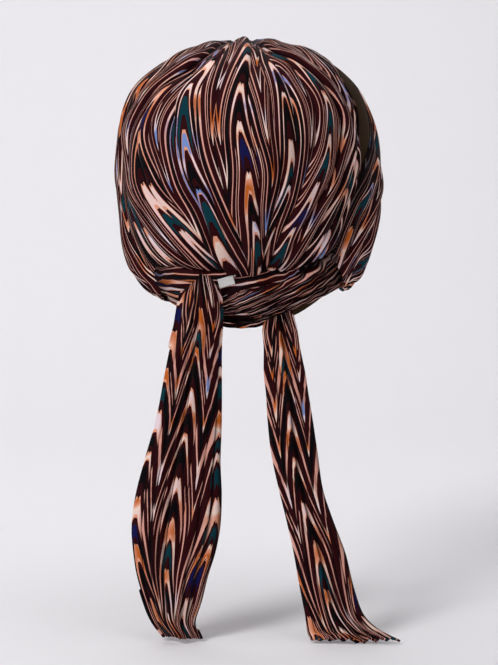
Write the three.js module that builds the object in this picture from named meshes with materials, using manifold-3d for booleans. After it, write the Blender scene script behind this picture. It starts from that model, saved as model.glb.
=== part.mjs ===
// A soft turban with two long ties, knotted at the nape. Millimetres, +Z up, -Y towards the face,
// +X towards the wearer's left. The origin is the inside of the cap's top, where it sits on the head.
import * as THREE from "three";
import { mergeVertices } from "three/addons/utils/BufferGeometryUtils.js";
import Module from "manifold-3d";

const wasm = await Module();
wasm.setup();

// Cloth: how thick each wall is, and the gap that is left between two pieces
const CAP_CLOTH = 1.6;
const CROWN_CLOTH = 1.4;
const BAND_CLOTH = 2;
const TIE_CLOTH = 2.8;
const GAP = 0.4;

// The cap's form: level sections from the top down. polar is the angle down from the top at which a
// section stands, and the other columns are its height, half width, and reach to the back and face.
const CAP_SECTIONS = [
  { polar: 0, z: 1.6, halfWidth: 0, back: 0, face: 0 },
  { polar: 9, z: 1.1, halfWidth: 14, back: 17, face: 16 },
  { polar: 16, z: -0.2, halfWidth: 25, back: 31, face: 28 },
  { polar: 24, z: -2.5, halfWidth: 37, back: 46, face: 42 },
  { polar: 31, z: -5.5, halfWidth: 48.5, back: 60, face: 56 },
  { polar: 39, z: -10.5, halfWidth: 61, back: 74, face: 68 },
  { polar: 46, z: -17, halfWidth: 72, back: 86, face: 79 },
  { polar: 53, z: -25, halfWidth: 81, back: 96, face: 87 },
  { polar: 61, z: -36, halfWidth: 90, back: 105, face: 94 },
  { polar: 69, z: -48, halfWidth: 95.5, back: 110.5, face: 98.5 },
  { polar: 77, z: -62, halfWidth: 99, back: 114, face: 101.5 },
  { polar: 87, z: -80, halfWidth: 100, back: 116, face: 103 },
  { polar: 101, z: -105, halfWidth: 99.5, back: 114.5, face: 103 },
  { polar: 115, z: -130, halfWidth: 97.5, back: 108, face: 101 },
  { polar: 126, z: -155, halfWidth: 95, back: 98, face: 98 },
  { polar: 137, z: -180, halfWidth: 89, back: 84, face: 93 },
  { polar: 147, z: -205, halfWidth: 79, back: 70, face: 84 },
  { polar: 157, z: -232, halfWidth: 62, back: 60, face: 70 },
];
// How far down the cap's rim reaches, by azimuth from the nape (0) round to the forehead (180)
const RIM = [
  { azimuth: 0, polar: 154 },
  { azimuth: 30, polar: 152 },
  { azimuth: 55, polar: 144 },
  { azimuth: 75, polar: 135 },
  { azimuth: 90, polar: 126 },
  { azimuth: 120, polar: 104 },
  { azimuth: 150, polar: 91 },
  { azimuth: 180, polar: 87 },
];

// The crown panel: pleats that fan out of a seam over the top and run together at the nape. Its middle
// goes down the back from the seam (0) to the nape (1), and its two edges pass these polar angles and
// azimuths on the way.
const SEAM_POLAR = 37;
const NAPE_POLAR = 137.5;
const CROWN_EDGE = [
  { along: 0, polar: 16, left: 180, right: 180 },
  { along: 0.08, polar: 20, left: 140, right: 140 },
  { along: 0.16, polar: 29, left: 108, right: 108 },
  { along: 0.24, polar: 38, left: 86, right: 90 },
  { along: 0.34, polar: 50, left: 72, right: 72 },
  { along: 0.46, polar: 65, left: 66, right: 65 },
  { along: 0.56, polar: 79, left: 64, right: 63 },
  { along: 0.66, polar: 93, left: 62.5, right: 61 },
  { along: 0.76, polar: 106, left: 61, right: 56 },
  { along: 0.86, polar: 119, left: 58, right: 49 },
  { along: 0.94, polar: 130, left: 48, right: 42 },
  { along: 1, polar: 137.5, left: 38, right: 36 },
];
const CROWN_EDGE_LIFT = 2.5; // how far the panel's edges stand off the cap
const PLEATS = 13;
const PLEAT_DEPTH = 1.3;
// How far the middle of the panel stands off the cap, from the seam to the nape
const CROWN_LIFT = [
  { along: 0, lift: 5 },
  { along: 0.2, lift: 8 },
  { along: 0.45, lift: 14 },
  { along: 0.7, lift: 21 },
  { along: 0.85, lift: 16 },
  { along: 0.95, lift: 5.5 },
  { along: 1, lift: 2.6 },
];
const RIDGE_RISE = 3.4; // the small standing fold where the seam crosses the top

// The band round the face, from the seam at the left of the nape to the one at its right. Each section
// goes from a low edge to a high edge, each at an azimuth, a polar angle and a lift off the cap, and
// bulge is how far its middle stands out beyond them.
const BAND = [
  { lowAt: 48, low: 146, lowLift: 9, highAt: 46, high: 135, highLift: 9, bulge: 6 },
  { lowAt: 58, low: 145, lowLift: 8, highAt: 54, high: 127, highLift: 10, bulge: 7 },
  { lowAt: 70, low: 143, lowLift: 9, highAt: 64, high: 112, highLift: 8, bulge: 9 },
  { lowAt: 82, low: 135, lowLift: 7, highAt: 70, high: 86, highLift: 5, bulge: 6 },
  { lowAt: 94, low: 127, lowLift: 5, highAt: 78, high: 58, highLift: 3.5, bulge: 4.5 },
  { lowAt: 108, low: 116, lowLift: 3, highAt: 92, high: 39, highLift: 3, bulge: 1 },
  { lowAt: 130, low: 100, lowLift: 3, highAt: 118, high: 28, highLift: 3, bulge: 3 },
  { lowAt: 155, low: 91.5, lowLift: 3, highAt: 150, high: 21, highLift: 2.5, bulge: 5 },
  { lowAt: 180, low: 88.5, lowLift: 3, highAt: 180, high: 18, highLift: 2.5, bulge: 6 },
  { lowAt: 205, low: 91.5, lowLift: 3, highAt: 210, high: 22, highLift: 2.5, bulge: 5 },
  { lowAt: 230, low: 100, lowLift: 3, highAt: 240, high: 36, highLift: 3, bulge: 3 },
  { lowAt: 252, low: 116, lowLift: 3, highAt: 259, high: 60, highLift: 3, bulge: 4 },
  { lowAt: 266, low: 127, lowLift: 5, highAt: 276, high: 78, highLift: 3, bulge: 6 },
  { lowAt: 278, low: 135, lowLift: 7, highAt: 292, high: 88, highLift: 4, bulge: 8 },
  { lowAt: 290, low: 142, lowLift: 9, highAt: 301, high: 101, highLift: 7, bulge: 9 },
  { lowAt: 298, low: 143, lowLift: 8, highAt: 311, high: 113, highLift: 9, bulge: 7 },
  { lowAt: 303, low: 142, lowLift: 9, highAt: 318, high: 129, highLift: 9, bulge: 6 },
];
const BAND_FOLDS = 2.5;
const BAND_FOLD_DEPTH = 0.8;

// The ties, a row for each section: its lower or right edge, its upper or left edge, and its bulge
const OVER_WRAP = [
  { x0: -75, y0: 55, z0: -195, x1: -63, y1: 74, z1: -165, bulge: 4 },
  { x0: -58, y0: 70, z0: -202, x1: -51, y1: 86, z1: -173, bulge: 5 },
  { x0: -42, y0: 78, z0: -208, x1: -38, y1: 90, z1: -180, bulge: 5 },
  { x0: -25, y0: 82, z0: -214, x1: -17, y1: 92, z1: -188, bulge: 6 },
  { x0: -8, y0: 84, z0: -219, x1: 0, y1: 93, z1: -191, bulge: 6 },
  { x0: 8, y0: 84, z0: -220, x1: 12, y1: 92, z1: -194, bulge: 5 },
  { x0: 22, y0: 84, z0: -218, x1: 24, y1: 90, z1: -197, bulge: 4 },
  { x0: 38, y0: 82, z0: -213, x1: 40, y1: 87, z1: -199, bulge: 3 },
];
const OVER_TAIL = [
  { x0: 27, y0: 84, z0: -210, x1: 45, y1: 80, z1: -208, bulge: 1 },
  { x0: 26, y0: 88, z0: -196, x1: 46, y1: 86, z1: -197, bulge: 2 },
  { x0: 24, y0: 93, z0: -189, x1: 48, y1: 92, z1: -191, bulge: 3 },
  { x0: 22, y0: 97, z0: -195, x1: 51, y1: 95, z1: -197, bulge: 5 },
  { x0: 22, y0: 98, z0: -206, x1: 55, y1: 96, z1: -207, bulge: 6 },
  { x0: 22, y0: 98, z0: -222, x1: 59, y1: 95, z1: -222, bulge: 6 },
  { x0: 22, y0: 100, z0: -242, x1: 65, y1: 97, z1: -242, bulge: 7 },
  { x0: 22, y0: 104, z0: -268, x1: 70, y1: 101, z1: -268, bulge: 7 },
  { x0: 22, y0: 111, z0: -298, x1: 76, y1: 107, z1: -298, bulge: 8 },
  { x0: 23, y0: 120, z0: -330, x1: 85, y1: 117, z1: -330, bulge: 8 },
  { x0: 22, y0: 128, z0: -356, x1: 92, y1: 126, z1: -356, bulge: 9 },
  { x0: 23, y0: 135, z0: -380, x1: 95, y1: 134, z1: -380, bulge: 9 },
  { x0: 27, y0: 140, z0: -401, x1: 94, y1: 139, z1: -398, bulge: 8 },
  { x0: 33, y0: 144, z0: -420, x1: 91, y1: 143, z1: -418, bulge: 7 },
  { x0: 38, y0: 147, z0: -440, x1: 85, y1: 146, z1: -438, bulge: 6 },
  { x0: 43, y0: 149, z0: -457, x1: 78, y1: 148, z1: -455, bulge: 4 },
  { x0: 39, y0: 152, z0: -471, x1: 68, y1: 150, z1: -469, bulge: 2 },
];
const UNDER_WRAP = [
  { x0: 65, y0: 57, z0: -205, x1: 70, y1: 66, z1: -179, bulge: 5 },
  { x0: 53, y0: 65, z0: -213, x1: 57, y1: 78, z1: -177, bulge: 4 },
  { x0: 36, y0: 71, z0: -222, x1: 40, y1: 87, z1: -179, bulge: 3 },
  { x0: 20, y0: 75, z0: -225, x1: 20, y1: 91, z1: -180, bulge: 2 },
  { x0: 3, y0: 77, z0: -226, x1: -1, y1: 92, z1: -180, bulge: 2 },
  { x0: -14, y0: 77, z0: -222, x1: -15, y1: 91, z1: -179, bulge: 2 },
  { x0: -27, y0: 75, z0: -213, x1: -29, y1: 91.5, z1: -177, bulge: 1 },
  { x0: -36, y0: 79.5, z0: -195, x1: -40, y1: 90, z1: -174, bulge: 0 },
];
const UNDER_TAIL = [
  { x0: -34, y0: 75, z0: -203, x1: -13, y1: 79, z1: -207, bulge: 1 },
  { x0: -37, y0: 77, z0: -216, x1: -12, y1: 78, z1: -218, bulge: 2 },
  { x0: -40, y0: 80, z0: -228, x1: -11, y1: 79, z1: -229, bulge: 3 },
  { x0: -42, y0: 83, z0: -242, x1: -12, y1: 83, z1: -242, bulge: 4 },
  { x0: -46, y0: 90, z0: -261, x1: -12, y1: 90, z1: -261, bulge: 5 },
  { x0: -49, y0: 98, z0: -280, x1: -14, y1: 97, z1: -280, bulge: 5 },
  { x0: -52, y0: 105, z0: -298, x1: -15, y1: 104, z1: -298, bulge: 5 },
  { x0: -56, y0: 114, z0: -325, x1: -18, y1: 113, z1: -325, bulge: 6 },
  { x0: -60, y0: 123, z0: -352, x1: -24, y1: 122, z1: -352, bulge: 6 },
  { x0: -68, y0: 130, z0: -376, x1: -30, y1: 129, z1: -376, bulge: 6 },
  { x0: -78, y0: 136, z0: -402, x1: -36, y1: 136, z1: -402, bulge: 6 },
  { x0: -85, y0: 142, z0: -430, x1: -41, y1: 142, z1: -430, bulge: 5 },
  { x0: -93, y0: 147, z0: -451, x1: -45, y1: 147, z1: -450, bulge: 4 },
  { x0: -107, y0: 153, z0: -463, x1: -47, y1: 152, z1: -464, bulge: 2 },
  { x0: -122, y0: 160, z0: -469, x1: -50, y1: 158, z1: -470, bulge: 1 },
];
const TIE_FOLDS = 1.5;
const TIE_FOLD_DEPTH = 1.6;

const LABEL = { width: 13, height: 7.5, thick: 0.8, x: 18.5, y: 92.9, z: -186, turn: 16 };

const radians = THREE.MathUtils.degToRad;
const mix = THREE.MathUtils.lerp;

// A smooth curve through one column of a table, read at the position key = at
function column(rows, key, name, at) {
  const last = rows.length - 1;
  let i = 0;
  while (i < last - 1 && at > rows[i + 1][key]) i += 1;
  const share = (at - rows[i][key]) / (rows[i + 1][key] - rows[i][key]);
  const slope = (k) => {
    const before = rows[Math.max(k - 1, 0)];
    const after = rows[Math.min(k + 1, last)];
    return (after[name] - before[name]) / (after[key] - before[key]);
  };
  const span = rows[i + 1][key] - rows[i][key];
  const t = Math.min(Math.max(share, 0), 1);
  const rise = rows[i + 1][name] - rows[i][name];
  const startSlope = slope(i) * span;
  const endSlope = slope(i + 1) * span;
  return (
    rows[i][name] +
    startSlope * t +
    (3 * rise - 2 * startSlope - endSlope) * t * t +
    (startSlope + endSlope - 2 * rise) * t * t * t
  );
}

// The point of the cap's outside at a polar angle and an azimuth, both in degrees
function onCap(polar, azimuth) {
  const section = (name) => column(CAP_SECTIONS, "polar", name, polar);
  const side = Math.sin(radians(azimuth));
  const fore = Math.cos(radians(azimuth));
  const reach = fore > 0 ? section("back") : section("face");
  return new THREE.Vector3(section("halfWidth") * side, reach * fore, section("z"));
}

// The normal of a surface given as a function of two shares, by small steps
function normalOf(surface, u, v) {
  const step = 0.004;
  const low = (share) => Math.max(share - step, 0);
  const high = (share) => Math.min(share + step, 1);
  const along = surface(high(u), v).sub(surface(low(u), v));
  const across = surface(u, high(v)).sub(surface(u, low(v)));
  return along.cross(across).normalize();
}

// A wall of cloth: a grid of points on the outer surface, and the same grid one thickness further in
function clothWall(surface, inward, thick, columns, rows) {
  const points = [];
  const quads = [];
  const layer = (columns + 1) * (rows + 1);
  for (let side = 0; side < 2; side += 1) {
    for (let i = 0; i <= columns; i += 1) {
      for (let j = 0; j <= rows; j += 1) {
        const point = surface(i / columns, j / rows);
        if (side === 1) point.addScaledVector(inward(i / columns, j / rows), thick);
        points.push(point.x, point.y, point.z);
      }
    }
  }
  const index = (side, i, j) => side * layer + i * (rows + 1) + j;
  for (let i = 0; i < columns; i += 1) {
    for (let j = 0; j < rows; j += 1) {
      quads.push(index(0, i, j), index(0, i + 1, j), index(0, i + 1, j + 1), index(0, i, j + 1));
      quads.push(index(1, i, j), index(1, i, j + 1), index(1, i + 1, j + 1), index(1, i + 1, j));
    }
    quads.push(index(0, i + 1, 0), index(0, i, 0), index(1, i, 0), index(1, i + 1, 0));
    quads.push(index(0, i, rows), index(0, i + 1, rows), index(1, i + 1, rows), index(1, i, rows));
  }
  for (let j = 0; j < rows; j += 1) {
    quads.push(index(0, 0, j), index(0, 0, j + 1), index(1, 0, j + 1), index(1, 0, j));
    quads.push(index(0, columns, j + 1), index(0, columns, j), index(1, columns, j), index(1, columns, j + 1));
  }
  const grid = new THREE.BufferGeometry();
  grid.setAttribute("position", new THREE.Float32BufferAttribute(points, 3));
  grid.setIndex(quads);
  return closed(grid);
}

// Merges the points that a grid of quads shares, drops each quad that this lays on another one, splits
// the rest into triangles and turns them all to face out
function closed(grid) {
  const merged = mergeVertices(grid, 1e-3);
  const index = merged.index.array;
  const kept = new Map();
  for (let i = 0; i < index.length; i += 4) {
    const quad = [...index.slice(i, i + 4)];
    const key = [...quad].sort((a, b) => a - b).join();
    if (kept.has(key)) kept.delete(key);
    else kept.set(key, quad);
  }
  const halves = [...kept.values()].flatMap(([a, b, c, d]) => [[a, b, c], [a, c, d]]);
  const faces = halves.filter((face) => new Set(face).size === 3);
  const position = merged.attributes.position;
  const corner = (k) => new THREE.Vector3().fromBufferAttribute(position, k);
  const volume = faces.reduce((sum, [a, b, c]) => sum + corner(a).dot(corner(b).cross(corner(c))), 0);
  if (volume < 0) faces.forEach((face) => face.reverse());
  merged.setIndex(faces.flat());
  return merged;
}

function toSolid(geometry) {
  const vertProperties = new Float32Array(geometry.attributes.position.array);
  const triVerts = new Uint32Array(geometry.index.array);
  return new wasm.Manifold(new wasm.Mesh({ numProp: 3, vertProperties, triVerts }));
}

function toGeometry(solid) {
  const mesh = solid.getMesh();
  const geometry = new THREE.BufferGeometry();
  geometry.setAttribute("position", new THREE.Float32BufferAttribute(mesh.vertProperties, 3));
  geometry.setIndex([...mesh.triVerts]);
  return geometry;
}

// The olive cap under everything: a closed ring of the cap's sections down to its rim
function baseCap() {
  const columns = 32;
  const rows = 10;
  const surface = (u, v) => {
    const azimuth = u * 360;
    const rim = column(RIM, "azimuth", "polar", azimuth > 180 ? 360 - azimuth : azimuth);
    return onCap(rim * v, azimuth);
  };
  const inward = (u, v) => {
    if (v === 0) return new THREE.Vector3(0, 0, -1);
    const ring = (share) => (share + 1) % 1;
    const step = 0.004;
    const along = surface(ring(u + step), v).sub(surface(ring(u - step), v));
    const across = surface(u, Math.min(v + step, 1)).sub(surface(u, v - step));
    return across.cross(along).normalize();
  };
  return clothWall(surface, inward, CAP_CLOTH, columns, rows);
}

// The unit direction of a polar angle and an azimuth
function direction(polar, azimuth) {
  const round = Math.sin(radians(polar));
  const side = round * Math.sin(radians(azimuth));
  return new THREE.Vector3(side, round * Math.cos(radians(azimuth)), Math.cos(radians(polar)));
}

// The direction in which the crown panel stands at a place across (-1 right to 1 left) and along it
function crownDirection(across, along) {
  const middle = direction(mix(SEAM_POLAR, NAPE_POLAR, along), 0);
  const azimuth = column(CROWN_EDGE, "along", across < 0 ? "right" : "left", along);
  const edge = direction(column(CROWN_EDGE, "along", "polar", along), across < 0 ? -azimuth : azimuth);
  const whole = middle.angleTo(edge);
  const share = Math.abs(across);
  return middle
    .multiplyScalar(Math.sin((1 - share) * whole))
    .addScaledVector(edge, Math.sin(share * whole))
    .normalize();
}

// The gathered panel over the back of the head
function crownPanel() {
  const columns = PLEATS * 4;
  const rows = 12;
  const form = (across, along) => {
    const outward = crownDirection(across, along);
    const polar = THREE.MathUtils.radToDeg(Math.acos(outward.z));
    const azimuth = THREE.MathUtils.radToDeg(Math.atan2(outward.x, outward.y));
    const middle = Math.cos((across * Math.PI) / 2) ** 0.7;
    const lift = mix(CROWN_EDGE_LIFT, column(CROWN_LIFT, "along", "lift", along), middle);
    const depth = Math.sin(Math.PI * along) ** 0.5 * PLEAT_DEPTH * middle;
    const ripple = depth * Math.cos(across * Math.PI * PLEATS);
    const overSeam = Math.exp(-((along / 0.06) ** 2)) * Math.exp(-(((Math.abs(across) - 0.6) / 0.3) ** 2));
    const point = onCap(polar, azimuth).addScaledVector(outward, lift + ripple);
    point.z += RIDGE_RISE * overSeam;
    return point;
  };
  const surface = (u, v) => form(u * 2 - 1, v);
  const inward = (u, v) => {
    if (v === 0) return crownDirection(u * 2 - 1, 0).negate();
    return normalOf(surface, u, v).negate();
  };
  return clothWall(surface, inward, CROWN_CLOTH, columns, rows);
}

// How far a section stands out at a share of the way across it: a swell with lengthwise folds on it
function fullness(bulge, folds, depth, share) {
  const swell = bulge * Math.sin(Math.PI * share) ** 0.6;
  return swell + depth * Math.sin(Math.PI * share) ** 0.5 * Math.sin(2 * Math.PI * folds * share);
}

// The band at a share of the way round it, and of the way up
function bandSurface(u, v) {
  const rows = BAND.map((row, number) => ({ ...row, number }));
  const read = (name) => column(rows, "number", name, u * (rows.length - 1));
  const polar = mix(read("low"), read("high"), v);
  const azimuth = mix(read("lowAt"), read("highAt"), v);
  const lift = mix(read("lowLift"), read("highLift"), v);
  const out = lift + fullness(read("bulge"), BAND_FOLDS, BAND_FOLD_DEPTH, v);
  return onCap(polar, azimuth).addScaledVector(direction(polar, azimuth), out);
}

function frontBand() {
  const inward = (u, v) => normalOf(bandSurface, u, v);
  return clothWall(bandSurface, inward, BAND_CLOTH, 44, 8);
}

// A length of tie through the sections of a table, read by row number
function tieSurface(table) {
  const rows = table.map((row, number) => ({ ...row, number }));
  const last = rows.length - 1;
  return (u, v) => {
    const read = (name) => column(rows, "number", name, u * last);
    const low = new THREE.Vector3(read("x0"), read("y0"), read("z0"));
    const high = new THREE.Vector3(read("x1"), read("y1"), read("z1"));
    const out = fullness(read("bulge"), TIE_FOLDS, TIE_FOLD_DEPTH, v);
    return low.lerp(high, v).add(new THREE.Vector3(0, out, 0));
  };
}

function tieLength(table, columns, turned) {
  const surface = tieSurface(table);
  const inward = (u, v) => normalOf(surface, u, v).multiplyScalar(turned);
  return clothWall(surface, inward, TIE_CLOTH, columns, 7);
}

// A tie is its wrap and its tail in one, with any pocket that is shut in between the two filled
function tie(wrap, tail, wrapTurned, tailTurned) {
  const wrapSolid = toSolid(tieLength(wrap, 12, wrapTurned));
  const tailSolid = toSolid(tieLength(tail, 20, tailTurned));
  const filled = wrapSolid.add(tailSolid).decompose().filter((body) => body.volume() > 0);
  return toGeometry(wasm.Manifold.union(filled));
}

function blankLabel() {
  const geometry = new THREE.BoxGeometry(LABEL.width, LABEL.thick, LABEL.height);
  geometry.rotateY(radians(-LABEL.turn));
  geometry.translate(LABEL.x, LABEL.y, LABEL.z);
  return geometry;
}

const olive = new THREE.MeshStandardMaterial({ color: 0x3a2c1c, roughness: 0.95, metalness: 0 });
const print = new THREE.MeshStandardMaterial({ color: 0x3b1a1e, roughness: 0.8, metalness: 0 });
const white = new THREE.MeshStandardMaterial({ color: 0xd8d6d2, roughness: 0.7, metalness: 0 });

const turban = new THREE.Group();

function place(name, geometry, material) {
  geometry.deleteAttribute("normal");
  geometry.deleteAttribute("uv");
  const mesh = new THREE.Mesh(mergeVertices(geometry, 1e-4), material);
  mesh.name = name;
  turban.add(mesh);
}

place("base_cap", baseCap(), olive);
place("crown_panel", crownPanel(), print);
place("front_band", frontBand(), print);
place("over_tie", tie(OVER_WRAP, OVER_TAIL, 1, 1), print);
place("under_tie", tie(UNDER_WRAP, UNDER_TAIL, -1, 1), print);
place("label", blankLabel(), white);

export default turban;
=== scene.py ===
# %% [markdown]
# # A printed turban with two long ties
#
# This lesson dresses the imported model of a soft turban. The real thing is a jersey cap with
# printed crepe gathered over it: a crown panel at the back, a padded band round the face, and two
# ties that are half-knotted at the nape and hang to the floor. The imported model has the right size
# and place for each piece, but its walls are plain, so each one is replaced by a sheet of cloth
# with real pleats.

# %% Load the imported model
import math

import bpy
import numpy as np
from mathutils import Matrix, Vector


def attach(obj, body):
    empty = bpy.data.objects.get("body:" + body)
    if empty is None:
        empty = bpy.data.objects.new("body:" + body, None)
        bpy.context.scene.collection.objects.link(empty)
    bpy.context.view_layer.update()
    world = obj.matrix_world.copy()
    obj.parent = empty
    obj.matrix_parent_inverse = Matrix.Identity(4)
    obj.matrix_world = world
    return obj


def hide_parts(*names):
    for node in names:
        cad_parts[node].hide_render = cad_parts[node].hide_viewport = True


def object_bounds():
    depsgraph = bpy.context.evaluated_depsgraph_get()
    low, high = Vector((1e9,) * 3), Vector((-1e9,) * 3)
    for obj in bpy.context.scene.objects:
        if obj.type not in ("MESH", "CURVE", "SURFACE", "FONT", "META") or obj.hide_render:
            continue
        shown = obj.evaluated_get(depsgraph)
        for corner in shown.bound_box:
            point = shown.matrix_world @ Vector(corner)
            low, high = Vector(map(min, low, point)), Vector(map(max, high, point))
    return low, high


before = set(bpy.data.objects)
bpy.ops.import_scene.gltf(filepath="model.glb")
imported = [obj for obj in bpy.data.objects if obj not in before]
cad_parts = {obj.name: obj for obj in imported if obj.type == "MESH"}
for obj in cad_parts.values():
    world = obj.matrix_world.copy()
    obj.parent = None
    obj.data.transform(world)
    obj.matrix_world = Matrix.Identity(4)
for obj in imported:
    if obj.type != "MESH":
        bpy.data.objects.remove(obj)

CAD_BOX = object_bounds()
print("packed model's box, m:", [[round(c, 3) for c in corner] for corner in CAD_BOX])

# %% [markdown]
# ## The camera
#
# The picture shows the back of the turban from a little above, through a long lens. A long lens far
# away keeps the pleats at the rim as large as those in the middle. The camera comes first, because
# every later choice is judged through it.

# %% Set the camera
CAMERA_PLACE = (0.0, 2.575, 0.093)
CAMERA_DOWN = 7.37  # degrees below level
FOCAL_PIXELS = 3066
PICTURE_HEIGHT = 665
SENSOR = 36.0


def put(name, data):
    """A new object, linked to the scene"""
    piece = bpy.data.objects.new(name, data)
    bpy.context.collection.objects.link(piece)
    return piece


camera_data = bpy.data.cameras.new("camera")
camera_data.sensor_width = SENSOR
camera_data.lens = SENSOR * FOCAL_PIXELS / PICTURE_HEIGHT
camera_data.clip_end = 20
camera = put("camera", camera_data)
camera.location = CAMERA_PLACE
camera.rotation_euler = (math.radians(90 - CAMERA_DOWN), 0, math.radians(180))
bpy.context.scene.camera = camera
print("lens, mm:", round(camera_data.lens, 1))

# %% [markdown]
# ## Reading shapes from short tables
#
# The turban has no straight line in it, but it has a rule: level sections of the cap, paths of the
# pleats, sections of the ties. Each is a short table of sizes, and one helper draws a smooth curve
# through a column of it. Numpy does this for a whole grid of points at once.

# %% Tables, and smooth curves through their columns
def table(columns, *rows):
    """Rows of numbers under named columns. The column `number` counts the rows"""
    names = ("number", *columns.split())
    return [dict(zip(names, (number, *row))) for number, row in enumerate(rows)]


def column(rows, key, name, at):
    """The value of a column at the places `at`, which are read against the column `key`"""
    place = np.array([row[key] for row in rows], float)
    value = np.array([row[name] for row in rows], float)
    at = np.clip(np.asarray(at, float), place[0], place[-1])
    i = np.clip(np.searchsorted(place, at, side="right") - 1, 0, len(place) - 2)
    rows_at = np.arange(len(place))
    before, after = np.maximum(rows_at - 1, 0), np.minimum(rows_at + 1, len(place) - 1)
    slope = (value[after] - value[before]) / (place[after] - place[before])
    span = place[i + 1] - place[i]
    t = (at - place[i]) / span
    rise = value[i + 1] - value[i]
    start, end = slope[i] * span, slope[i + 1] * span
    return value[i] + start * t + (3 * rise - 2 * start - end) * t**2 + (start + end - 2 * rise) * t**3


def columns(rows, key, names, at):
    """The same for several columns"""
    return [column(rows, key, name, at) for name in names.split()]


def mix(a, b, share):
    """The value that lies this share of the way from a to b"""
    return a + (b - a) * share


def smooth(low, high, at):
    """0 below low, 1 above high, and an even curve between them"""
    t = np.clip((at - low) / (high - low), 0, 1)
    return t * t * (3 - 2 * t)


def wander(x, y, seed, size, count=9):
    """Seeded, smooth unevenness between about -1 and 1, with lumps of about `size`"""
    rng = np.random.default_rng(seed)
    total = 0
    for _ in range(count):
        turn, scale, start = rng.uniform(0, np.pi), rng.uniform(0.6, 1.6) / size, rng.uniform(0, 2 * np.pi)
        total = total + np.sin(2 * np.pi * scale * (x * np.cos(turn) + y * np.sin(turn)) + start)
    return total / (0.8 * count**0.5)


def pleat(phase):
    """A row of pleats, one for each whole step of phase: round crests and sharp valleys, from 0 to 1"""
    return np.sin(np.pi * (phase - np.floor(phase))) ** 0.75


print("a pleat, in quarters:", pleat(np.arange(4) / 4).round(3).tolist())

# %% The cap's form, from the top down
# degrees down from the top, then mm: height, half width, reach to the nape and reach to the face
CAP_SECTIONS = table(
    "polar z wide back face",
    (0, 1.6, 0, 0, 0),
    (9, 1.1, 14, 17, 16),
    (16, -0.2, 25, 31, 28),
    (24, -2.5, 37, 46, 42),
    (31, -5.5, 48.5, 60, 56),
    (39, -10.5, 61, 74, 68),
    (46, -17, 72, 86, 79),
    (53, -25, 81, 96, 87),
    (61, -36, 90, 105, 94),
    (69, -48, 95.5, 110.5, 98.5),
    (77, -62, 99, 114, 101.5),
    (87, -80, 100, 116, 103),
    (101, -105, 99.5, 114.5, 103),
    (115, -130, 97.5, 108, 101),
    (126, -155, 95, 98, 98),
    (137, -180, 89, 84, 93),
    (147, -205, 79, 70, 84),
    (157, -232, 62, 60, 70),
)


def on_cap(polar, azimuth):
    """Points of the cap's outside, in mm: polar from the top down, azimuth from the nape, in degrees"""
    side, fore = np.sin(np.radians(azimuth)), np.cos(np.radians(azimuth))
    z, wide, back, face = columns(CAP_SECTIONS, "polar", "z wide back face", polar)
    return np.stack([wide * side, np.where(fore > 0, back, face) * fore, z + 0 * side], axis=-1)


def direction(polar, azimuth):
    """Unit vectors that point outwards at those angles"""
    polar, azimuth = np.radians(polar), np.radians(azimuth)
    flat = np.sin(polar)
    return np.stack([flat * np.sin(azimuth), flat * np.cos(azimuth), np.cos(polar) + 0 * azimuth], axis=-1)


print("the cap where it is widest, mm:", on_cap(np.array(87.0), np.array(90.0)).round(1))

# %% [markdown]
# ## From a grid of points to a wall of cloth
#
# A grid with a UV map in flat metres is the honest form of a sheet: the print reads the UV map, so
# it follows the cloth into each gather. Solidify gives the sheet its thickness and closes its rim.
# It is turned into plain mesh at once, so that nothing later has to evaluate it again.

# %% Turn a grid into cloth
SAME_PLACE = 0.00004  # m, within which two points of a sheet are one


def apply_modifiers(piece):
    """Keep what the modifiers make as plain mesh, and remove them"""
    evaluated = piece.evaluated_get(bpy.context.evaluated_depsgraph_get())
    mesh = bpy.data.meshes.new_from_object(evaluated)
    piece.modifiers.clear()
    old, piece.data = piece.data, mesh
    bpy.data.meshes.remove(old)
    mesh.name = piece.name
    return piece


def cloth(name, points, flat, thick, material, turned=False, crease=None):
    """A sheet from grids of points (mm) and of flat places (m), walled inwards by `thick` mm.
    turned: the grid's faces are wound the other way. crease: the painted shade of each point, 0 to 1"""
    index = np.arange(points.shape[0] * points.shape[1]).reshape(points.shape[:2])
    corners = [index[:-1, :-1], index[1:, :-1], index[1:, 1:], index[:-1, 1:]]
    quads = np.stack(corners[::-1] if turned else corners, axis=-1).reshape(-1, 4)
    mesh = bpy.data.meshes.new(name)
    mesh.from_pydata((points.reshape(-1, 3) / 1000).tolist(), [], quads.tolist())
    uv = mesh.uv_layers.new(name="UVMap")
    uv.data.foreach_set("uv", flat.reshape(-1, 2)[quads.ravel()].ravel())
    # the painted shade is kept as the point attribute 'crease', which the print material reads
    if crease is not None:
        mesh.attributes.new("crease", "FLOAT", "POINT").data.foreach_set("value", crease.ravel())
    mesh.polygons.foreach_set("use_smooth", [True] * len(mesh.polygons))
    mesh.materials.append(material)
    piece = put(name, mesh)
    merge = piece.modifiers.new("weld", "WELD")
    merge.merge_threshold = SAME_PLACE
    wall = piece.modifiers.new("wall", "SOLIDIFY")
    wall.thickness, wall.offset = thick / 1000, -1
    apply_modifiers(piece)
    area = sum(p.area for p in piece.data.polygons) / 2
    print(f"{name}: {len(piece.data.polygons) * 2} triangles, {area:.4f} m2 of cloth")
    return piece


# %% [markdown]
# ## The printed crepe
#
# The cloth has a flame stripe. Each colour band climbs to a peak, falls down a long steep flank to
# a sharp trough, and climbs again, so on the flanks the bands are thin upright lines, and at the
# peaks they open into spearheads. A picture could hold this, but a short recipe of maths on the UV
# map stays sharp at any distance and needs no file.

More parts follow.
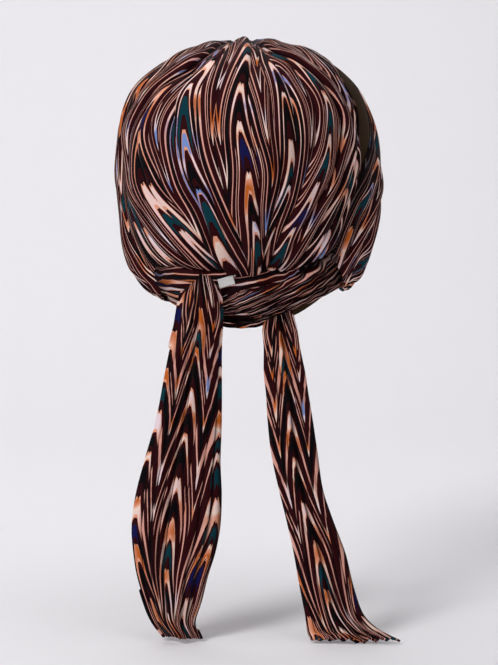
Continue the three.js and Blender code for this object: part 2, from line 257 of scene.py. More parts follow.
# %% A helper that writes node recipes
class Recipe:
    """Adds nodes to one tree. An input is a number, a colour or another node's output"""

    def __init__(self, tree):
        self.tree = tree

    def add(self, kind, inputs=(), **settings):
        """One node, with its settings and then its inputs"""
        node = self.tree.nodes.new(kind)
        for name, value in settings.items():
            setattr(node, name, value)
        for key, value in dict(inputs).items():
            if isinstance(value, bpy.types.NodeSocket):
                self.tree.links.new(value, node.inputs[key])
            elif value is not None:
                node.inputs[key].default_value = value
        return node

    def math(self, operation, a, b=None, c=None):
        """The result of one step of arithmetic"""
        return self.add("ShaderNodeMath", {0: a, 1: b, 2: c}, operation=operation).outputs[0]

    def blend(self, share, a, b):
        """A colour part of the way from a to b"""
        return self.add("ShaderNodeMix", {0: share, 6: a, 7: b}, data_type="RGBA").outputs[2]

    def span(self, value, low, high, to_low=0.0, to_high=1.0, kind="SMOOTHSTEP"):
        """to_low where the value is at low, to_high where it is at high, and a ramp between them"""
        inputs = {0: value, 1: low, 2: high, 3: to_low, 4: to_high}
        return self.add("ShaderNodeMapRange", inputs, interpolation_type=kind).outputs[0]

    def noise(self, place, scale, detail=2.0):
        """Cloudy values from 0 to 1"""
        inputs = {"Vector": place, "Scale": scale, "Detail": detail}
        return self.add("ShaderNodeTexNoise", inputs).outputs[0]

    def bump(self, height, strength, distance, below=None):
        """The way a surface faces once small heights are on it, on top of the bumps below"""
        inputs = {"Height": height, "Strength": strength, "Distance": distance, "Normal": below}
        return self.add("ShaderNodeBump", inputs).outputs[0]

    def skin(self, inputs):
        """The surface itself, and the way out of the tree"""
        surface = self.add("ShaderNodeBsdfPrincipled", inputs).outputs[0]
        self.add("ShaderNodeOutputMaterial", {0: surface})

    def ramp(self, value, stops, kind="LINEAR"):
        """A colour that runs through (place, colour) stops"""
        node = self.add("ShaderNodeValToRGB", {0: value})
        node.color_ramp.interpolation = kind
        on_ramp = node.color_ramp.elements
        on_ramp.remove(on_ramp[1])
        on_ramp[0].position, on_ramp[0].color = stops[0]
        for place, colour in stops[1:]:
            on_ramp.new(place).color = colour
        return node.outputs[0]

    def pick(self, value, colours):
        """One of several colours, in even steps of value"""
        return self.ramp(value, [(n / len(colours), c) for n, c in enumerate(colours)], "CONSTANT")


def new_material(name):
    """An empty material, and a recipe that fills it"""
    material = bpy.data.materials.new(name)
    material.use_nodes = True
    material.node_tree.nodes.clear()
    return material, Recipe(material.node_tree)


# %% The dyes
def dye(red, green, blue):
    """A colour as the eye names it, in 0 to 255, turned into the linear values that nodes take"""
    share = np.array([red, green, blue]) / 255
    linear = np.where(share <= 0.04045, share / 12.92, ((share + 0.055) / 1.055) ** 2.4)
    return (*linear.tolist(), 1.0)


OXBLOOD, WINE, INK = dye(45, 6, 11), dye(25, 4, 9), dye(6, 4, 7)
TEAL, NAVY = dye(8, 54, 64), dye(20, 20, 72)
PEACH, BLUSH, PEARL = dye(230, 156, 126), dye(238, 202, 196), dye(236, 220, 230)
SKY, RUST, CREAM, ROSE = dye(118, 142, 200), dye(194, 98, 36), dye(244, 216, 202), dye(220, 158, 144)

print("the darkest dye and the palest:", [round(c, 4) for c in INK], [round(c, 3) for c in CREAM])

# %% [markdown]
# ### Counting the bands
#
# The place along the cloth, less the height of the zigzag at that place across it, counts the
# bands: its whole part numbers them, and its fraction says where in its band a point lies. A square
# root rounds the peaks and leaves the trough sharp. Each thread bleeds a little past the edge of a
# band, as dyed yarn does, and most at the peaks.

# %% Count the bands
TROUGH = 0.53  # its place on the way from a tall peak, at 0, to a short one, at 1
THREAD = 0.0009  # m, the width of the threads that bleed
ROUND = 0.012  # how round a peak is
TIE_TOP, TIE_HEM = (0.17, 0.25), (0.35, 0.43)  # m along a tie, where its zigzag grows steeper


def count_bands(r, flat, half, fall, climb, repeat, shift, ragged_by, ends):
    """The place across the zigzag, how near a peak and the trough it is, the count, and the zone"""
    parts = r.add("ShaderNodeSeparateXYZ", {0: flat}).outputs
    drift = r.noise(flat, 9.0, 1.0)
    drift = r.math("SUBTRACT", drift, 0.5)
    u = r.math("MULTIPLY_ADD", drift, 0.006, r.math("ADD", parts[0], shift))
    across = r.math("DIVIDE", r.math("PINGPONG", u, half), half)
    peak = r.math("ADD", r.span(across, 0.0, 0.42, 1.0, 0.0), r.span(across, 0.72, 1.0))
    trough = r.span(r.math("ABSOLUTE", r.math("SUBTRACT", across, TROUGH)), 0.0, 0.09, 1.0, 0.0)

    # the way down from a tall peak, less the way up to the short one
    drop = -climb
    for top, height in ((0.02, fall), (0.98, climb)):
        away = r.span(across, top, TROUGH, kind="LINEAR")
        rounded = r.math("SQRT", r.math("MULTIPLY_ADD", away, away, ROUND))
        rounded = r.span(rounded, ROUND**0.5, (1 + ROUND) ** 0.5, kind="LINEAR")
        drop = r.math("MULTIPLY_ADD", rounded, height, drop)
    for place, at_low, at_high in ((TIE_TOP, ends, 1.0), (TIE_HEM, 1.0, ends)):
        drop = r.math("MULTIPLY", drop, r.span(parts[1], *place, at_low, at_high))

    wave = r.math("DIVIDE", r.math("SUBTRACT", parts[1], drop), repeat)
    wave = r.math("MULTIPLY_ADD", drift, 0.3, wave)
    thread = r.math("FLOOR", r.math("DIVIDE", u, THREAD))
    ragged = r.add("ShaderNodeTexWhiteNoise", {"W": thread}, noise_dimensions="1D").outputs[0]
    bleed = r.math("MULTIPLY_ADD", peak, ragged_by, 0.02)
    wave = r.math("ADD", wave, r.math("MULTIPLY", r.math("SUBTRACT", ragged, 0.5), bleed))
    # every second band is a narrow one
    wave = r.math("MULTIPLY_ADD", r.math("SINE", r.math("MULTIPLY", wave, math.pi)), 0.11, wave)
    zone = r.math("PINGPONG", r.math("ROUND", r.math("DIVIDE", u, half)), 3.0)
    return across, peak, trough, wave, zone


print(f"a flank takes {TROUGH:.0%} of the way from a tall peak to a short one")

# %% [markdown]
# ### Dyeing them
#
# Each band is pale at its foot and dark above. The dark part is oxblood at both edges, and its core
# is often teal, navy or nearly black. The pale part has a peach rim round a middle that drifts from
# light blue through pink to orange. Two seeded chances for each band say which dyes it gets.

# %% Dye the bands
PALE_SHADES = [(0.28, SKY), (0.33, PEARL), (0.46, BLUSH), (0.58, CREAM), (0.62, PEACH), (0.70, RUST)]
BRIGHT_CORES = [TEAL, INK, TEAL, NAVY, INK, TEAL, OXBLOOD, TEAL]
DIM_CORES = [OXBLOOD, WINE, INK, OXBLOOD, WINE]


def dye_bands(r, flat, counted, warm, thin):
    """The colour of each point of the stripe"""
    across, peak, trough, wave, zone = counted
    band, share = r.math("FLOOR", wave), r.math("FRACT", wave)
    chances = []
    for turn in (5.0, 7.0):
        seed = r.add("ShaderNodeCombineXYZ", {0: r.math("MODULO", band, turn), 1: zone, 2: turn}).outputs[0]
        chances.append(r.add("ShaderNodeTexWhiteNoise", {"Vector": seed}, noise_dimensions="3D").outputs[0])
    on_turn = r.math("ADD", peak, trough)

    pale_to = r.math("MULTIPLY_ADD", peak, 0.26, r.math("MULTIPLY_ADD", trough, 0.14, thin))
    pale_to = r.math("MULTIPLY", pale_to, r.math("MULTIPLY_ADD", chances[0], 0.7, 0.54))
    depth = r.math("DIVIDE", r.math("SUBTRACT", share, pale_to), r.math("SUBTRACT", 1.0, pale_to))
    dim = r.pick(chances[1], DIM_CORES)
    core = r.blend(r.math("GREATER_THAN", peak, 0.7), dim, r.pick(chances[0], BRIGHT_CORES))
    colour = r.blend(r.math("COMPARE", depth, 0.5, 0.25), OXBLOOD, core)
    # on the flanks some dark bands hold one hair-thin pale line
    hair = r.math("MULTIPLY", r.math("COMPARE", depth, 0.56, 0.06), r.math("GREATER_THAN", chances[1], 0.7))
    hair = r.math("MULTIPLY", hair, r.math("LESS_THAN", on_turn, 0.3))
    colour = r.blend(hair, colour, ROSE)

    cloud = r.noise(flat, 34.0, 0.0)
    cloud = r.math("MULTIPLY_ADD", chances[1], 0.16, r.math("ADD", cloud, warm - 0.10))
    middle = r.blend(r.span(on_turn, 0.1, 0.6), ROSE, r.ramp(cloud, PALE_SHADES))
    half_edge = r.math("MULTIPLY_ADD", peak, -0.15, 0.48)
    edge = r.math("COMPARE", r.math("DIVIDE", share, pale_to), 0.5, half_edge)
    # the dark core of the band below runs up into a pale peak as a sharp point
    point = r.span(across, 0.0, 0.075, 0.13, 0.0, kind="LINEAR")
    point = r.math("MULTIPLY", point, r.math("GREATER_THAN", chances[1], 0.45))
    point = r.math("ADD", point, r.span(across, 0.94, 1.0, 0.0, 0.09, kind="LINEAR"))
    pale = r.math("MULTIPLY", r.math("LESS_THAN", share, pale_to), r.math("GREATER_THAN", share, point))
    colour = r.blend(r.math("LESS_THAN", share, point), colour, dim)
    return r.blend(pale, colour, r.blend(edge, PEACH, middle))


print(len(PALE_SHADES), "pale shades,", len(BRIGHT_CORES) + len(DIM_CORES), "choices of core")

# %% [markdown]
# ### The crepe itself
#
# Crepe has a dry, pebbled face and crinkles that run along the cloth. Both come from noise and bump
# maps. Painted shade darkens the colour in crease valleys and at tucked edges, as each sheet says.
# The ties get the stripe with gentler zigzags, which grow steeper towards the knot and the hem.

# %% Make the printed crepe
def printed_crepe(name, half, fall, climb, repeat, shift=0.0, warm=0.0, thin=0.15, ragged_by=0.02, ends=1.0):
    """half: m from a tall peak to a short one. fall, climb: m down to the trough and up again.
    thin: how much of a band is pale on the flanks. ragged_by: how far threads bleed past a peak.
    ends: how much steeper the zigzag is at both ends of a tie"""
    material, r = new_material(name)
    flat = r.add("ShaderNodeUVMap", uv_map="UVMap").outputs[0]
    counted = count_bands(r, flat, half, fall, climb, repeat, shift, ragged_by, ends)
    colour = dye_bands(r, flat, counted, warm, thin)

    crepe = r.noise(flat, 1500.0, 1.0)
    worn = r.noise(flat, 60.0)
    colour = r.blend(r.span(crepe, 0.3, 0.7, 0.0, 0.12), colour, INK)
    # painted shade: each sheet's 'crease' attribute darkens the colour towards near-black ink
    depth = r.add("ShaderNodeAttribute", attribute_name="crease").outputs["Fac"]
    colour = r.blend(r.span(depth, 0.1, 1.0, 0.0, 0.9), colour, INK)
    stretch = r.add("ShaderNodeMapping", {"Vector": flat, "Scale": (170.0, 16.0, 1.0)}).outputs[0]
    crinkle = r.noise(stretch, 1.0)
    coarse = r.bump(crinkle, 0.6, 0.0012)
    fine = r.bump(crepe, 0.35, 0.00012, coarse)
    rough = r.span(worn, 0.25, 0.75, 0.66, 0.84)
    gloss = {"Specular IOR Level": 0.06, "Sheen Weight": 0.01, "Sheen Roughness": 0.4}
    r.skin({"Base Color": colour, "Roughness": rough, "Normal": fine, **gloss})
    print(name, "has", len(material.node_tree.nodes), "nodes")
    return material


PRINT = printed_crepe("printed crepe", half=0.033, fall=0.142, climb=0.112, repeat=0.036, shift=0.029)
PRINT_TIES = printed_crepe(
    "printed crepe, ties", half=0.025, fall=0.066, climb=0.050, repeat=0.036,
    warm=0.08, thin=0.22, ragged_by=0.05, ends=1.6,
)

# %% [markdown]
# ## The crown panel
#
# The crown panel is gathered into a short seam over the top of the cap and run together again at
# the nape, so its pleats fan out like the ribs of a shell. Cloth simulation could gather it, but it
# would not put the fold lines where they belong. The panel is drawn instead as a grid: one way
# across the pleats, the other way along them, and each row of the table says where the panel's
# edges pass. Pleats are then raised on it: many small ones at the seam, a few broad ones over the
# back, deep ones at the nape, and some long creases where one fold lies over the next.

# %% Where the crown's pleats run
TOP_POLAR, NAPE_POLAR = -12, 137.5  # degrees down from the top of the cap, and below 0 towards the face
# the share of the way from seam to nape, then degrees: down from the top, and round from the nape
CROWN_EDGE = table(
    "along polar left right",
    (0, 20, 140, 140),
    (0.10, 29, 108, 108),
    (0.19, 38, 86, 84),
    (0.30, 50, 75, 66),
    (0.43, 65, 77, 61),
    (0.54, 79, 80, 61),
    (0.65, 93, 81, 61),
    (0.755, 106, 78, 56),
    (0.86, 119, 70, 49),
    (0.94, 130, 59, 42),
    (1, 137.5, 43, 36),
)
CROWN_LIFT = table(
    "along lift",
    (0, 4),
    (0.18, 5.5),
    (0.33, 6.5),
    (0.46, 9),
    (0.63, 14),
    (0.80, 21),
    (0.90, 16),
    (0.967, 6),
    (1, 3),
)


def fold_lines(*rows):
    """Creases. A line holds the place across at even steps along, and a step the rise in mm there"""
    return [dict(line=line, step=step) for line, step in rows]


# From right to left. Where a step is above 0, the left side lies on top.
CREASES = fold_lines(
    ([-1.3] * 11, (0, 0, 0)),
    ([-1.02, -1.02, -1.04, -1.07, -1.09, -1.09, -1.04, -0.97, -0.92, -0.86, -0.8], (-1, -1.5, -2)),
    ([-0.77, -0.77, -0.78, -0.93, -0.99, -0.99, -0.94, -0.87, -0.8, -0.72, -0.65], (-1.2, -1.5, -2.2)),
    ([-0.5, -0.5, -0.52, -0.65, -0.81, -0.9, -0.83, -0.74, -0.65, -0.57, -0.5], (-1, -1.6, -2.6)),
    ([-0.15, -0.15, -0.17, -0.34, -0.6, -0.73, -0.72, -0.62, -0.5, -0.4, -0.35], (-0.8, -3.4, -2.6, -3)),
    ([-0.13, -0.13, -0.15, -0.26, -0.42, -0.48, -0.47, -0.41, -0.33, -0.26, -0.26], (-1, -1.6, -2.6)),
    ([-0.09, -0.09, -0.11, -0.18, -0.26, -0.31, -0.32, -0.32, -0.27, -0.21, -0.22], (1, -1.2, -2)),
    ([-0.04, -0.04, -0.06, -0.08, -0.1, -0.14, -0.17, -0.21, -0.18, -0.15, -0.19], (1.2, 0.9, 1.8)),
    ([0.03, 0.03, 0, -0.01, 0, 0.01, -0.01, -0.06, -0.06, -0.1, -0.16], (2.6, 1.4, 0.8, 3)),
    ([0.11, 0.11, 0.12, 0.13, 0.14, 0.17, 0.17, 0.14, 0.09, 0.03, -0.02], (-1.2, -1, -1.6)),
    ([0.18, 0.18, 0.19, 0.22, 0.25, 0.28, 0.27, 0.22, 0.16, 0.12, 0.08], (-1, -1.2, -2)),
    ([0.24, 0.24, 0.25, 0.28, 0.33, 0.4, 0.39, 0.31, 0.24, 0.21, 0.19], (-0.8, -2, -3.4)),
    ([0.27, 0.27, 0.28, 0.32, 0.38, 0.48, 0.57, 0.49, 0.35, 0.25, 0.23], (0, -1.6, -2.4)),
    ([0.34, 0.34, 0.35, 0.38, 0.43, 0.6, 0.69, 0.6, 0.43, 0.3, 0.28], (0, -1.8, -2.8)),
    ([0.42, 0.42, 0.42, 0.43, 0.5, 0.71, 0.81, 0.81, 0.65, 0.44, 0.34], (2, 3.2, 0, -3)),
    ([0.7, 0.7, 0.7, 0.75, 0.83, 0.92, 0.94, 0.9, 0.77, 0.57, 0.41], (1, -1, -2.4)),
    ([1.05, 1.05, 1.05, 1.05, 1.05, 1.04, 1.01, 0.95, 0.86, 0.68, 0.51], (1, -1, -2)),
    ([1.3] * 11, (0, 0, 0)),
)

print(f"{len(CREASES) - 2} creases in the crown, and {len(CROWN_EDGE)} rows for its edges")


def crown_direction(across, along):
    """Which way a point of the panel lies: on the great circle between its middle and its edge"""
    middle = direction(mix(TOP_POLAR, NAPE_POLAR, along), 0 * along)
    polar, left, right = columns(CROWN_EDGE, "along", "polar left right", along)
    edge = direction(polar, np.where(across < 0, -right, left))
    whole = np.arccos(np.clip((middle * edge).sum(-1), -1, 1))[..., None]
    share = np.abs(across)[..., None]
    way = np.sin((1 - share) * whole) * middle + np.sin(share * whole) * edge
    return way / np.linalg.norm(way, axis=-1, keepdims=True)


# %% [markdown]
# ### Folds that hide cloth
#
# A gathered panel holds more cloth than its place has room for, and what is too much is tucked into
# creases. So the flat place of a point doesn't grow evenly across the panel: it runs on at the same
# pace over each fold, and leaps at each crease. The stripes then follow their own fold down, and
# break off where the next fold lies over them, which is what makes pleats look like pleats.

# %% A grid whose columns follow the creases
LEAST_GAP = 0.002  # the least room between two creases, as a share of the sheet
STEP_SOFT = 0.9  # mm over which the cloth steps up at a crease
SHADE_UNDER, SHADE_OVER = 1.5, 0.35  # mm that the shade reaches, below the step and on top of it
DARK_STEP = 2.2  # mm of step that gives a full shade
FOLD_ROUND, FOLD_MOST = 0.16, 3.2  # how round a fold is for its width, and its greatest rise in mm


def along_table(values, at):
    """Evenly spaced values, read at places from 0 to 1"""
    places = np.linspace(0, 1, len(values))
    return column([dict(at=place, value=value) for place, value in zip(places, values)], "at", "value", at)


def folded_grid(creases, rows, per_fold, first, last, ease=1.0):
    """Places across a sheet and along it, the fold that each column lies on, and the creases.
    ease: above 1, the rows lie closer together at the start"""
    along = np.linspace(0, 1, rows) ** ease
    lines = np.stack([along_table(crease["line"], along) for crease in creases])
    lines[0], lines[-1] = first, last
    gap = LEAST_GAP * (last - first)
    for k in range(1, len(lines) - 1):
        lines[k] = np.maximum(lines[k], lines[k - 1] + gap)
    for k in range(len(lines) - 2, 0, -1):
        lines[k] = np.minimum(lines[k], lines[k + 1] - gap)
    share = (0.5 - 0.5 * np.cos(np.pi * (np.arange(per_fold) + 0.5) / per_fold))[:, None]
    across = np.concatenate([low + share * (high - low) for low, high in zip(lines[:-1], lines[1:])])
    number = np.repeat(np.arange(len(lines) - 1), per_fold)
    across = np.concatenate([lines[:1], across, lines[-1:]])
    number = np.concatenate([number[:1], number, number[-1:]])
    return across, along[None, :] + 0 * across, number, lines


def creased(grid, scale, creases, fade, start_at, fullness):
    """The rise in mm, the flat place across in m, and the painted shade. scale: mm for one unit across.
    fade: mm over which a step dies away. start_at: where along it no cloth is hidden"""
    across, along, number, lines = grid
    rise, painted_shade = 0 * across, 0 * across
    for crease, line in zip(creases, lines):
        away, step = (across - line) * scale, along_table(crease["step"], along)
        rise += step * np.tanh(away / STEP_SOFT) * np.exp(-np.abs(away) / fade)
        # painted shade beside each crease, reaching further on the side that lies underneath
        reach = np.where(away * step < 0, SHADE_UNDER, SHADE_OVER)
        painted_shade = np.maximum(painted_shade, np.minimum(1, np.abs(step) / DARK_STEP) * np.exp(-np.abs(away) / reach))
    low, high = lines[number], lines[number + 1]
    share = np.clip((across - low) / (high - low), 0, 1)
    round_by = np.minimum(FOLD_MOST, FOLD_ROUND * (high - low) * scale)
    rise += round_by * np.clip(np.sin(np.pi * share), 0, 1) ** 0.7
    start = lines[:, int(start_at * (lines.shape[1] - 1))]
    centre = ((start[1:] + start[:-1]) / 2)[number][:, None] * np.mean(scale)
    flat = fullness * (centre + (across - (low + high) / 2) * scale) / 1000
    return rise, flat, painted_shade


# %% Raise the crown's pleats
def crown_height(across, along):
    """How far the cloth stands off the cap, in mm"""
    middle = np.clip(np.cos(across * np.pi / 2), 0, 1) ** 0.7
    lift = mix(2.9, column(CROWN_LIFT, "along", "lift", along), middle)
    # small gathers at the seam fade out within the first third
    gather = 1.2 * np.exp(-along / 0.13) * pleat(across * 13 + 0.2 * wander(across, along, 8, 0.4))
    return lift + gather + 0.8 * wander(across * 110, along * 300, 11, 46) - 1.2


CROWN_CLEAR = 1.8  # mm that the cloth, with its thickness, has to stay off the cap
CROWN_CUT = 0.30  # m, the length that the panel was cut to


def make_crown():
    """The crown panel, from the seam over the top down to the nape"""
    grid = folded_grid(CREASES, rows=150, per_fold=17, first=-1, last=1, ease=1.05)
    across, along = grid[:2]
    out = crown_direction(across, along)
    polar = np.degrees(np.arccos(out[..., 2]))
    azimuth = np.degrees(np.arctan2(out[..., 0], out[..., 1]))
    base = on_cap(polar, azimuth)
    steps = np.linalg.norm(np.diff(base, axis=0), axis=-1)
    half_width = np.maximum(steps.sum(0) / 2, 20)[None, :]
    rise, flat_across, painted_shade = creased(grid, half_width, CREASES, fade=10, start_at=0.6, fullness=1.15)
    # the folds are pulled flat where the top seam holds them
    rise *= mix(0.3, 1.0, smooth(0.06, 0.30, along))
    points = base + out * np.maximum(crown_height(across, along) + rise, CROWN_CLEAR)[..., None]
    flat = np.stack([flat_across, along * CROWN_CUT], axis=-1)
    # painted shade along the side edges, which run under the band, and at the nape, under the wrap
    added_painted_shade = np.maximum(0.8 * smooth(0.93, 1.0, np.abs(across)), 0.7 * smooth(0.955, 1.0, along))
    # painted shade over the top seam, where the close pleats would shade one another
    added_painted_shade = np.maximum(added_painted_shade, 0.55 * smooth(0.48, 0.18, along))
    return cloth("crown_panel_cloth", points, flat, 1.3, PRINT, True, np.maximum(painted_shade, added_painted_shade))


crown = make_crown()

# %% [markdown]
# ## The band round the face
#
# The band is one long padded strip. It comes from a gathered seam beside the nape, swells over the
# side, crosses over the face and returns on the other side. Its rows say where its low and high
# edges pass. Soft folds run lengthwise in it, and they bunch up towards each seam, because the strip is
# much wider than the tie that it is sewn to.

# %% The band's sections and creases
# degrees round from the nape, degrees down and mm of lift for the low edge and for the high one,
# and mm by which the strip swells between them
BAND = table(
    "low_at low low_lift high_at high high_lift bulge",
    (48, 146, 9, 46, 135, 9, 6),
    (58, 145, 8, 57, 128, 10, 7),
    (70, 143, 9, 68, 115, 8, 9),
    (82, 135, 7, 78, 90, 5, 6),
    (94, 127, 5, 83, 59, 3.5, 4.5),
    (108, 116, 3, 92, 39, 3, 1),
    (130, 100, 3, 118, 28, 3, 3),
    (155, 91.5, 3, 150, 21, 2.5, 5),
    (180, 88.5, 3, 180, 18, 2.5, 6),
    (205, 91.5, 3, 210, 22, 2.5, 5),
    (230, 100, 3, 240, 36, 3, 3),
    (252, 116, 3, 255, 60, 3, 4),
    (266, 127, 5, 268, 78, 3, 6),
    (278, 135, 7, 285, 89, 4, 8),
    (290, 142, 9, 301, 101, 7, 9),
    (298, 143, 8, 311, 113, 9, 7),
    (303, 142, 9, 318, 129, 9, 6),
)
# From the low edge to the high one, each at even steps from the left seam to the right one
BAND_CREASES = fold_lines(
    ([-0.2] * 9, (0, 0, 0)),
    ([0.14, 0.11, 0.10, 0.14, 0.16, 0.14, 0.10, 0.11, 0.14], (1.8, 1.2, 1.8)),
    ([0.28, 0.24, 0.23, 0.30, 0.33, 0.30, 0.23, 0.24, 0.28], (2.2, -1.2, 2.2)),
    ([0.42, 0.38, 0.38, 0.46, 0.50, 0.46, 0.38, 0.38, 0.42], (2.2, 1.2, 2.2)),
    ([0.57, 0.55, 0.55, 0.62, 0.67, 0.62, 0.55, 0.55, 0.57], (2.0, -1.2, 2.0)),
    ([0.72, 0.73, 0.74, 0.80, 0.84, 0.80, 0.74, 0.73, 0.72], (-1.6, 1.0, -1.6)),
    ([0.86, 0.88, 0.90, 1.02, 1.1, 1.02, 0.90, 0.88, 0.86], (-1.4, 0, -1.4)),
    ([1.2] * 9, (0, 0, 0)),
)

print(f"{len(BAND)} sections of the band, {len(BAND_CREASES) - 2} creases")

# %% Make the band
BAND_LENGTH = 620  # mm from seam to seam
BAND_CLEAR = 2.1  # mm that the cloth, with its thickness, has to stay off the cap


def make_band():
    """The band, and the grid of its points in mm, which its stitches follow"""
    grid = folded_grid(BAND_CREASES, rows=380, per_fold=15, first=0, last=1)
    up, around = grid[:2]
    at = around * (len(BAND) - 1)
    low, low_at, low_lift, bulge = columns(BAND, "number", "low low_at low_lift bulge", at)
    high, high_at, high_lift = columns(BAND, "number", "high high_at high_lift", at)
    polar, azimuth = mix(low, high, up), mix(low_at, high_at, up)
    lift = mix(low_lift, high_lift, up) + bulge * np.clip(np.sin(np.pi * up), 0, 1) ** 0.6
    to_seam = np.minimum(around, 1 - around) * BAND_LENGTH
    # the gathers are highest a little way from the seam, and gone some 80 mm along
    gathered = 2.0 * np.exp(-to_seam / 34) * (1 - 0.6 * np.exp(-to_seam / 5))
    placed = up + 0.02 * wander(up * 0.8, around * 7, 21, 1.0)
    inner = np.clip(np.sin(np.pi * up), 0, 1) ** 0.35
    wide = np.linalg.norm(on_cap(high, high_at) - on_cap(low, low_at), axis=-1) * 1.08
    folds, flat_across, painted_shade = creased(grid, wide, BAND_CREASES, fade=9, start_at=0.16, fullness=1.2)
    folds = (folds + gathered * pleat(placed * 8.5)) * inner
    folds += 0.6 * wander(up * 120, around * BAND_LENGTH, 12, 44) * inner
    # both edges are drawn down on to the cap
    hem = 1.4 * (np.exp(-up * 60) + np.exp(-(1 - up) * 60))
    height = np.maximum(lift + folds - hem - 0.8, BAND_CLEAR)[..., None]
    points = on_cap(polar, azimuth) + direction(polar, azimuth) * height
    middle = np.linalg.norm(np.diff(points[len(up) // 2], axis=0), axis=-1)
    length = np.concatenate([[0], np.cumsum(middle)]) / 1000
    flat = np.stack([flat_across, length[None, :] + 0 * up], axis=-1)
    # painted shade along the band's high edge, next to the crown
    painted_shade = np.maximum(painted_shade, 0.9 * smooth(0.84, 1.0, up))
    return cloth("front_band_cloth", points, flat, 1.7, PRINT, False, painted_shade), points


band, band_points = make_band()

# %% [markdown]
# ## The ties
#
# Each tie is a tube of doubled crepe. One stretch wraps round the nape, and the other hangs. The
# tables give the two edges of each section and how far it swells. On that ribbon the cloth is
# thrown into lengthwise folds, with some of its width hidden in each crease. A cloth simulation
# would let the knot slip open, so the folds are drawn.

# %% The paths of the ties
EDGES = "x0 y0 z0 x1 y1 z1 bulge"  # one edge of a section and the other, and how far it swells, in mm
OVER_WRAP = table(
    EDGES,
    (-79, 49, -194, -66, 67, -162, 2),
    (-73, 57, -196, -61, 75, -165, 4),
    (-58, 70, -202, -51, 86, -173, 5),
    (-42, 78, -208, -38, 90, -180, 5),
    (-25, 82, -214, -17, 92, -188, 6),
    (-8, 84, -219, 0, 93, -191, 6),
    (8, 84, -220, 12, 92, -194, 5),
    (22, 84, -218, 24, 90, -197, 4),
    (38, 82, -213, 40, 87, -199, 3),
)
OVER_TAIL = table(
    EDGES,
    (28, 88, -199, 50, 86, -200, 3),
    (25, 93, -191, 53, 92, -194, 7),
    (22, 98, -196, 56, 96, -200, 8),
    (21, 99, -208, 58, 96, -211, 7),
    (21, 98, -222, 60, 95, -223, 6),
    (22, 100, -242, 65, 97, -242, 7),
    (22, 104, -268, 70, 101, -268, 7),
    (22, 111, -298, 76, 107, -298, 8),
    (23, 120, -330, 85, 117, -330, 8),
    (22, 128, -356, 92, 126, -356, 9),
    (23, 135, -380, 95, 134, -380, 9),
    (27, 140, -401, 94, 139, -398, 8),
    (33, 144, -420, 91, 143, -418, 7),
    (38, 147, -440, 85, 146, -438, 6),
    (43, 149, -457, 78, 148, -455, 4),
    (39, 152, -470, 68, 150, -468, 2),
)
UNDER_WRAP = table(
    EDGES,
    (70, 52, -203, 74, 61, -177, 2),
    (64, 58, -205, 69, 67, -178, 4),
    (53, 65, -213, 57, 78, -177, 4),
    (36, 71, -222, 40, 87, -179, 3),
    (20, 75, -225, 20, 91, -180, 2),
    (3, 77, -226, -1, 92, -180, 2),
    (-14, 77, -222, -15, 91, -179, 2),
    (-27, 75, -213, -29, 91.5, -177, 1),
    (-36, 79.5, -195, -40, 90, -174, 0),
)
UNDER_TAIL = table(
    EDGES,
    (-34, 75, -203, -13, 79, -207, 1),
    (-37, 77, -216, -12, 78, -218, 2),
    (-40, 80, -228, -11, 79, -229, 3),
    (-42, 83, -242, -12, 83, -242, 4),
    (-46, 90, -261, -12, 90, -261, 5),
    (-49, 98, -280, -14, 97, -280, 5),
    (-52, 105, -298, -15, 104, -298, 5),
    (-56, 114, -325, -18, 113, -325, 6),
    (-60, 123, -352, -24, 122, -352, 6),
    (-68, 130, -376, -30, 129, -376, 6),
    (-78, 136, -402, -36, 136, -402, 6),
    (-85, 142, -430, -41, 142, -430, 5),
    (-93, 147, -451, -45, 147, -450, 4),
    (-107, 153, -463, -47, 152, -464, 2),
    (-122, 160, -469, -50, 158, -470, 1),
)

print("sections of the ties:", len(OVER_WRAP) + len(OVER_TAIL), "and", len(UNDER_WRAP) + len(UNDER_TAIL))

# %% Where the ties are creased, from their low or right edge to the other one
EDGE_LOW, EDGE_HIGH = ([-0.15, -0.15], (0, 0, 0)), ([1.15, 1.15], (0, 0, 0))
OVER_TAIL_CREASES = fold_lines(
    EDGE_LOW,
    ([0.10, 0.07, 0.06, 0.09, 0.14, 0.20, 0.22], (1, 2, 3.4)),
    ([0.20, 0.17, 0.15, 0.19, 0.26, 0.33, 0.36], (0.5, 1, 3)),
    ([0.34, 0.32, 0.31, 0.36, 0.42, 0.47, 0.48], (-1, -1.2, 1.6)),
    ([0.55, 0.52, 0.50, 0.54, 0.58, 0.61, 0.60], (-2, -5, -4.6, -3)),
    ([0.68, 0.64, 0.61, 0.64, 0.67, 0.70, 0.70], (-1, -2.2, -2)),
    ([0.78, 0.77, 0.74, 0.75, 0.77, 0.79, 0.80], (-1.6, -2.4, -2.4)),
    ([0.90, 0.89, 0.87, 0.87, 0.88, 0.89, 0.90], (-1.2, -1.6, -2)),
    EDGE_HIGH,
)
UNDER_TAIL_CREASES = fold_lines(
    EDGE_LOW,
    ([0.10, 0.09, 0.09, 0.11, 0.13, 0.13, 0.12], (-1, -1.4, -2.6)),
    ([0.22, 0.20, 0.20, 0.22, 0.26, 0.26, 0.24], (-2, -1.8, -3)),
    ([0.34, 0.34, 0.33, 0.35, 0.38, 0.38, 0.37], (-1, -1, -3)),
    ([0.50, 0.48, 0.46, 0.49, 0.52, 0.51, 0.50], (3, 3.2, 2.4)),
    ([0.66, 0.62, 0.60, 0.62, 0.65, 0.65, 0.64], (1, 1, 2)),
    ([0.78, 0.76, 0.74, 0.76, 0.78, 0.78, 0.78], (2.4, 2, 2)),
    ([0.90, 0.90, 0.89, 0.90, 0.90, 0.90, 0.90], (1, 1.4, 1.6)),
    EDGE_HIGH,
)
